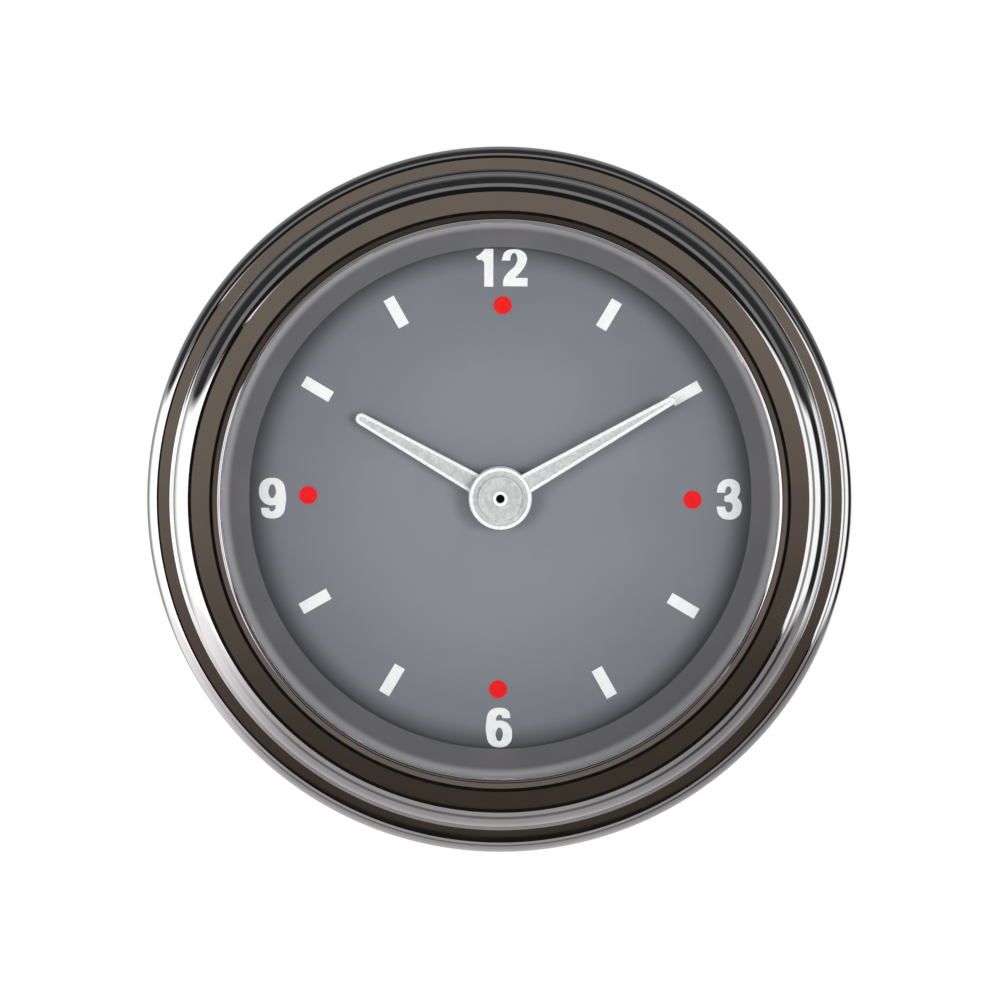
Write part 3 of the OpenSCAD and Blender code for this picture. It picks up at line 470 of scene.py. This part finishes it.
# Hands: two stamped aluminium hands with a sunk satin face and a raised bright edge, one pressed
# on the hour pipe and one on the centre arbor. The minute hand has a turned boss with its own
# bright rim.
hand_face, at = new_finish("hand_satin", {"Specular IOR Level": 0.5})
brush = at.noise(3200, 4.0)
lay(hand_face, {
    "Base Color": brush.spread().blend((0.48, 0.515, 0.51), (0.63, 0.665, 0.66)),
    "Roughness": brush.spread(0.40, 0.52),
    "Normal": brush.bump(0.004 * mm, 0.4),
})
hand_edge, at = new_finish("hand_bright", {"Coat Weight": 0.5, "Coat Roughness": 0.1})
glint = at.noise(2500)
lay(hand_edge, {
    "Base Color": glint.spread().blend((0.93, 0.94, 0.94), (0.97, 0.97, 0.97)),
    "Roughness": glint.spread(0.22, 0.34),
})
satin, bright = 0, 1


def hand(length, root, tip, hub, bore, edge, back, angle):
    """A hand stamped from one blank: a pierced hub, an arm, a raised edge and a sunk face."""
    thick, sunk, slope, edge_round, bore_sides = 0.5 * mm, 0.14 * mm, 0.06 * mm, 0.08 * mm, 24
    bm = bmesh.new()
    bmesh.ops.create_circle(bm, cap_ends=True, radius=hub, segments=96)
    inside = [e for e in bm.edges if all(v.co.y > 0 and abs(v.co.x) < root / 2 for v in e.verts)]
    arm = bmesh.ops.extrude_edge_only(bm, edges=inside)["geom"]
    end = sorted((g for g in arm if isinstance(g, bmesh.types.BMVert)), key=lambda v: v.co.x)
    for i, v in enumerate(end):
        turn = math.radians(-90 + 180 * i / (len(end) - 1))
        v.co = (tip / 2 * math.sin(turn), length - tip / 2 + tip / 2 * math.cos(turn), 0)
    face = bmesh.ops.dissolve_faces(bm, faces=bm.faces[:])["region"][0]
    face.normal_update()
    if face.normal.z < 0:
        face.normal_flip()
    for step in (edge, slope):
        bmesh.ops.inset_region(bm, faces=[face], use_boundary=True, use_even_offset=True,
                               thickness=step, depth=0)
    bmesh.ops.translate(bm, vec=(0, 0, -sunk), verts=face.verts[:])
    outline = [e for e in bm.edges if len(e.link_faces) == 1]
    skirt = bmesh.ops.extrude_edge_only(bm, edges=outline)["geom"]
    bmesh.ops.translate(bm, vec=(0, 0, -thick),
                        verts=[g for g in skirt if isinstance(g, bmesh.types.BMVert)])
    open_edges = [e for e in bm.edges if len(e.link_faces) == 1]
    bmesh.ops.holes_fill(bm, edges=open_edges, sides=0)
    for f in bm.faces:
        f.material_index = satin if f == face else bright
    bmesh.ops.recalc_face_normals(bm, faces=bm.faces[:])
    flats = [face, min(bm.faces, key=lambda f: f.calc_center_median().z)]
    for i in range(bore_sides):
        turn = 2 * math.pi * i / bore_sides
        way = Vector((math.cos(turn), math.sin(turn), 0))
        near = list(dict.fromkeys(g for f in flats for g in (f, *f.edges, *f.verts)))
        cut = bmesh.ops.bisect_plane(bm, geom=near, plane_co=way * bore, plane_no=way)
        flats = [g for g in cut["geom"] if isinstance(g, bmesh.types.BMFace)]
    waste = [f for f in flats if f.calc_center_median().xy.length < bore]
    bmesh.ops.delete(bm, geom=waste, context="FACES")
    bmesh.ops.bridge_loops(bm, edges=[e for e in bm.edges if len(e.link_faces) == 1])
    bmesh.ops.bevel(bm, geom=outline, offset=edge_round, offset_type="OFFSET", segments=3,
                    profile=0.5, affect="EDGES", material=-1)
    bmesh.ops.translate(bm, vec=(0, 0, back + thick), verts=bm.verts[:])
    stand, turn = math.radians(90), math.radians(-angle)
    to_dial = Matrix.Rotation(stand, 3, "X") @ Matrix.Rotation(turn, 3, "Z")
    bmesh.ops.rotate(bm, cent=(0, 0, 0), matrix=to_dial, verts=bm.verts[:])
    return bm


hour = hand(length=14.2 * mm, root=2.0 * mm, tip=0.98 * mm, hub=2.725 * mm, bore=1.7 * mm,
            edge=0.27 * mm, back=-2.35 * mm, angle=299)
turned(hour, [(1.7, 2.95, 0), (2.05, 2.95, 0.05), (2.05, 2.2, 0), (1.7, 2.2, 0)])
hour = piece(hour, "hour_hand_stamped", "hour_train", "hand_silver", hand_face, hand_edge,
             crease=28)
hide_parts("hour_hand")

minute = hand(length=17.2 * mm, root=1.85 * mm, tip=0.74 * mm, hub=2.68 * mm, bore=0.65 * mm,
              edge=0.29 * mm, back=-1.35 * mm, angle=59.5)
stamped = len(minute.faces)
turned(minute, [(0.66, 0.95, 0), (1.875, 0.95, 0), (1.875, 0.45, 0.12), (0.66, 0.45, 0.03)])
turned(minute, [(2.34, 1.0, 0), (2.66, 1.0, 0), (2.66, 0.72, 0.08), (2.34, 0.72, 0.10)])
rim_from, boss_side, flat_enough = 2.1 * mm, 1.5 * mm, 0.9
minute.faces.ensure_lookup_table()
for f in minute.faces[stamped:]:
    out = f.calc_center_median().xz.length
    on_side = abs(f.normal.y) < flat_enough and out > boss_side
    f.material_index = bright if out > rim_from or on_side else satin
minute = piece(minute, "minute_hand_stamped", "minute_train", "hand_silver", hand_face, hand_edge,
               crease=28)
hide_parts("minute_hand")


# Centre arbor: turned steel, faced bright where it shows through the minute hand. The blind
# centre hole that the lathe left in its end is painted near black: painted shade for its depth.
arbor_tip, at = new_finish("arbor_tip", {"Specular IOR Level": 0.1})
faced_rim_and_painted_hole_shade = from_axis(at).ease(0.35 * mm, 0.40 * mm)
lay(arbor_tip, {
    # painted shade: near black inside the centre hole, for its depth
    "Base Color": faced_rim_and_painted_hole_shade.blend((0.004, 0.004, 0.004), (0.94, 0.95, 0.95)),
    "Roughness": at.noise(2500).spread(0.25, 0.4),
})
dress(arbor_tip, "centre_arbor")


# Dial ring: a spun aluminium ring between glass and dial, painted satin grey. Its sloped wall
# ends in a thin lip just above the dial, and its upper edge is painted lighter where it meets the
# glass: a painted highlight.
ring_paint, at = new_finish("ring_grey", {"Specular IOR Level": 0.3})
cloud, peel = at.noise(140), at.noise(4600)
painted = cloud.spread().blend((0.178, 0.175, 0.186), (0.192, 0.189, 0.200))
painted_highlight_band = from_axis(at).ease(22.95 * mm, 23.5 * mm)
lay(ring_paint, {
    # painted highlight: a light grey band on the rounded upper edge by the glass
    "Base Color": painted_highlight_band.blend(painted, (0.42, 0.42, 0.43)),
    "Roughness": peel.spread(0.40, 0.48),
    "Normal": peel.bump(0.004 * mm, 0.4),
})
ring_section = [(25.4, 3.35, 0), (23.4, 3.35, 0), (22.9, 2.3, 0), (21.5, 1.95, 0.06),
                (23.2, -0.85, 0.4), (23.88, -1.4, 0), (25.4, -1.4, 0)]
ring = turned(bmesh.new(), ring_section, steps=192)
ring = even_light(piece(ring, "dial_ring_spun", "instrument", "ring_paint", ring_paint))
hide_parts("dial_ring")


# Glass and gasket: a flat disc of clear glass on the case's collar, with a flat black rubber
# ring between it and the bezel.
lens_glass, at = new_finish("lens_glass", {"Metallic": 1.0, "Base Color": (0.97, 0.98, 0.98, 1)})
lay(lens_glass, {
    "Alpha": towards_edge(at) ** 5 * 0.5 + 0.015,
    "Roughness": at.noise(120).ease(0.35, 0.65, 0.01, 0.03),
})
dress(lens_glass, "glass_lens")
rubber = moulded("gasket_rubber", (0.014, 0.014, 0.014), (0.022, 0.022, 0.022), 0.6, 5000)
dress(rubber, "lens_gasket")


# Bezel: spun brass in two steps, polished and chromium plated, its rear lip crimped over the
# flange of the case. A fine groove painted near black, a painted shade line, sets off the rolled
# inner edge.
chrome, at = new_finish("bright_chrome", {"Metallic": 1.0})
haze, polish = at.noise(260, 3.0), at.noise(7000)
lay(chrome, {
    "Base Color": haze.spread().blend((0.86, 0.86, 0.87), (0.90, 0.90, 0.905)),
    "Roughness": haze.ease(0.35, 0.7, 0.025, 0.05) + polish.ease(0.4, 0.8, 0.0, 0.015),
})
# painted shade: the groove is near black in place of the dark line there
groove_shade_black, at = new_finish("groove_painted_shade", {"Roughness": 0.5, "Specular IOR Level": 0.2})
lay(groove_shade_black, {
    "Base Color": at.noise(900).spread().blend((0.003, 0.003, 0.003), (0.007, 0.007, 0.007)),
})
bezel_section = [
    (27.5, 0, 0), (30.15, 0, 0.45), (30.15, -2.085, 1.04), (28.05, -2.343, 0.18),
    (28.05, -4.392, 1.82), (24.74, -4.8, 0), (24.70, -4.50, 0), (24.50, -4.50, 0),
    (24.46, -4.62, 0), (23.66, -4.49, 0.42), (23.66, -3.95, 0), (26.97, -3.95, 0),
    (27.57, -3.35, 0), (27.57, -1.6, 0), (29.55, -1.6, 0), (29.55, -0.6, 0), (27.5, -0.6, 0),
]
groove_in, groove_out, groove_front, groove_back = 24.45 * mm, 24.74 * mm, -4.74 * mm, -4.3 * mm
bezel = turned(bmesh.new(), bezel_section, steps=256)
for f in bezel.faces:
    spot = f.calc_center_median()
    in_groove = groove_in < spot.xz.length < groove_out and groove_front < spot.y < groove_back
    f.material_index = 1 if in_groove else 0
bezel = even_light(piece(bezel, "stepped_bezel", "instrument", "bright_chrome", chrome, groove_shade_black,
                         crease=60))
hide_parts("bezel")


# Setting knob: a fluted knob of black nylon behind the case, for setting the hands.
# It is pushed on the setting arbor and held by a small plated grub screw.
knob_nylon = moulded("knob_nylon", (0.016, 0.016, 0.018), (0.024, 0.024, 0.026), 0.36, 7000)
softened("setting_knob", 0.1 * mm, "fluted_knob", "setting_train", "knob_plastic", knob_nylon)
dress(zinc, "knob_screw")


# Studio: a white room with a pale floor, and soft lamps on both sides, in front and behind.
# Curved paper cards, seen only in reflections, are what the polished bezel mirrors: a grey board
# round the camera, a black frame at its sides and foot, and a surround shaded from hood to table.
room = bpy.data.worlds.new("white_room")
room.use_nodes = True
bpy.context.scene.world = room
backdrop = room.node_tree.nodes["Background"]
backdrop.inputs["Color"].default_value = (1, 1, 1, 1)
rays = room.node_tree.nodes.new("ShaderNodeLightPath").outputs
by_eye, by_gloss, through = (Sock(room.node_tree, rays[kind]) for kind in
                             ("Is Camera Ray", "Is Glossy Ray", "Is Transmission Ray"))
seen = by_eye.maths("MAXIMUM", by_eye, by_eye.maths("MAXIMUM", by_gloss, through))
soft_light = 0.22
strength = seen * (1 - soft_light) + soft_light
room.node_tree.links.new(strength.socket, backdrop.inputs["Strength"])

floor_reach, floor_level = 4.0, -0.52
floor_paper, at = new_finish("floor_paper", {"Roughness": 0.9})
lay(floor_paper, {
    "Base Color": at.noise(20).spread().blend((0.78, 0.77, 0.77), (0.80, 0.79, 0.79)),
})
far_off = at.node("VectorMath", {"operation": "LENGTH"}, {0: at}, out=1).ease(0.6, 2.6)
white = far_off.blend((0.92, 0.92, 0.92), (1.0, 1.0, 1.0))
paper_white = at.node("Emission", {}, {"Color": white, "Strength": 1.0})
plain_paper = Sock(at.tree, at.tree.nodes["Principled BSDF"].outputs["BSDF"])
by_eye = at.node("LightPath", {}, {}) * (far_off * 0.3 + 0.7)
paper = at.node("MixShader", {}, {0: by_eye, 1: plain_paper, 2: paper_white})
at.tree.links.new(paper.socket, at.tree.nodes["Material Output"].inputs["Surface"])
floor = bmesh.new()
bmesh.ops.create_circle(floor, cap_ends=True, radius=floor_reach, segments=96)
bmesh.ops.translate(floor, vec=(0, 0, floor_level), verts=floor.verts[:])
floor = put_in("floor", mesh_of(floor, "floor"))
floor.data.materials.append(floor_paper)


def card(name, near, far, start, end, glow, reach=0.5):
    """A curved card: from near to far off the view axis, from start to end round the clock."""
    parts, steps = 48, 128
    bm = bmesh.new()
    slants = [math.radians(near + (far - near) * i / parts) for i in range(parts + 1)]
    arc = [bm.verts.new((0, -reach * math.cos(a), reach * math.sin(a))) for a in slants]
    line = [bm.edges.new(pair) for pair in zip(arc, arc[1:])]
    first = Matrix.Rotation(math.radians(start), 3, "Y")
    bmesh.ops.rotate(bm, cent=(0, 0, 0), matrix=first, verts=arc)
    bmesh.ops.spin(bm, geom=arc + line, cent=(0, 0, 0), axis=(0, 1, 0), dvec=(0, 0, 0),
                   angle=math.radians(end - start), steps=steps, use_merge=end - start == 360)
    bmesh.ops.remove_doubles(bm, verts=bm.verts[:], dist=0.001 * mm)
    made = put_in(name, mesh_of(bm, name))
    made.visible_camera = made.visible_diffuse = made.visible_shadow = False
    paper, at = new_finish(name, {})
    at.tree.nodes.remove(at.tree.nodes["Principled BSDF"])
    shine = at.node("Emission", {}, {"Color": glow(at), "Strength": 1.0})
    at.tree.links.new(shine.socket, at.tree.nodes["Material Output"].inputs["Surface"])
    made.data.materials.append(paper)


def along(at, axis):
    """How far a point lies along X, Y or Z."""
    return at.node("SeparateXYZ", {}, {0: at}, out="XYZ".index(axis))


def board_glow(at):
    """Warm grey, darker towards the foot and the right."""
    height = along(at, "Z") - along(at, "X") * 0.15
    return height.ease(-0.16, 0.06).blend((0.046, 0.036, 0.027), (0.150, 0.123, 0.099))


def frame_glow(at):
    return at.noise(6).spread().blend((0.006, 0.005, 0.004), (0.010, 0.009, 0.008))


def band(angle, rise_from, rise_to, fall_from, fall_to):
    """1 inside a band of angles and 0 outside it, with soft edges."""
    return angle.ease(rise_from, rise_to) * (1 - angle.ease(fall_from, fall_to))


def surround_glow(at):
    """A dark hood above, white sheets at left and right, and a grey table; angles in degrees."""
    degrees, brightest = 180 / math.pi, 1.3
    rise = along(at, "Z") * 2.0
    angle = at.maths("ARCCOSINE", along(at, "Y") * -2.0) * degrees
    round_foot = at.maths("ARCTAN2", along(at, "X"), along(at, "Z") * -1.0) * degrees
    hood = (band(angle, 44, 50, 60, 68) * 0.18 + angle.ease(62, 72) * 0.016
            + angle.ease(90, 122) * 0.17 + angle.ease(132, 160) * 0.28 + 0.010)
    left = brightest - angle.ease(86, 126)
    right = 1.05 - band(angle, 37, 41, 49, 54) * 0.8 - band(angle, 75, 82, 106, 118) * 1.03
    leftward = (round_foot * -1.0).ease(34, 74)
    rightward = 1 - leftward
    table = (0.33 - band(angle, 56, 64, 68, 80) * rightward * 0.2 + leftward * 0.75
             - round_foot.ease(10, 45) * 0.1 + angle.ease(88, 126) * rightward * 0.14)
    over = along(at, "X").ease(-0.05, 0.05)
    up, down = rise.ease(0.20, 0.28), (rise * -1.0).ease(0.28, 0.42)
    sides = left * (1 - over) + right * over
    glow = sides * (1 - up) * (1 - down) + hood * up + table * down
    white = down.blend((1.3, 1.3, 1.3), (1.3, 1.235, 1.25))
    return (glow * (1 / brightest)).blend((0.0, 0.0, 0.0), white)


card("front_board", 0, 22.6, 0, 360, board_glow, reach=0.49)
card("board_frame", 20, 39, 118, 300, frame_glow, reach=0.495)
card("surround", 20, 172, 0, 360, surround_glow)

lamp_size = 0.5
for name, place, power in (
    ("left_lamp", (-0.55, -1.15, 0.05), 5.6),
    ("right_lamp", (0.58, -1.15, 0.05), 7.2),
    ("front_lamp", (0.0, -1.35, -0.1), 1.2),
    ("rear_left_lamp", (-0.9, 1.1, 0.6), 11.0),
    ("rear_right_lamp", (0.9, 1.1, 0.5), 7.0),
):
    light = bpy.data.lights.new(name, "AREA")
    light.shape, light.size, light.energy = "DISK", lamp_size, power
    lamp = put_in(name, light)
    lamp.location = place
    lamp.rotation_euler = Vector(place).to_track_quat("Z", "Y").to_euler()
    lamp.visible_glossy = False

distance, across, sensor = 0.8, 85.36 * mm, 36.0
rise, swing, roll = math.radians(2.5), math.radians(0.1), math.radians(0.7)
target = Vector((-0.02 * mm, -1.3 * mm, -0.02 * mm))
back = Vector((math.sin(swing) * math.cos(rise), -math.cos(swing) * math.cos(rise), math.sin(rise)))
eye = bpy.data.cameras.new("eye")
eye.sensor_width, eye.clip_start, eye.clip_end = sensor, 0.05, 20.0
eye.lens = sensor * distance / across
look = put_in("eye", eye)
look.location = target + back * distance
aim = (-back).to_track_quat("-Z", "Y").to_matrix() @ Matrix.Rotation(roll, 3, "Z")
look.rotation_euler = aim.to_euler()
bpy.context.scene.camera = look
bpy.context.scene.view_settings.view_transform = "Standard"
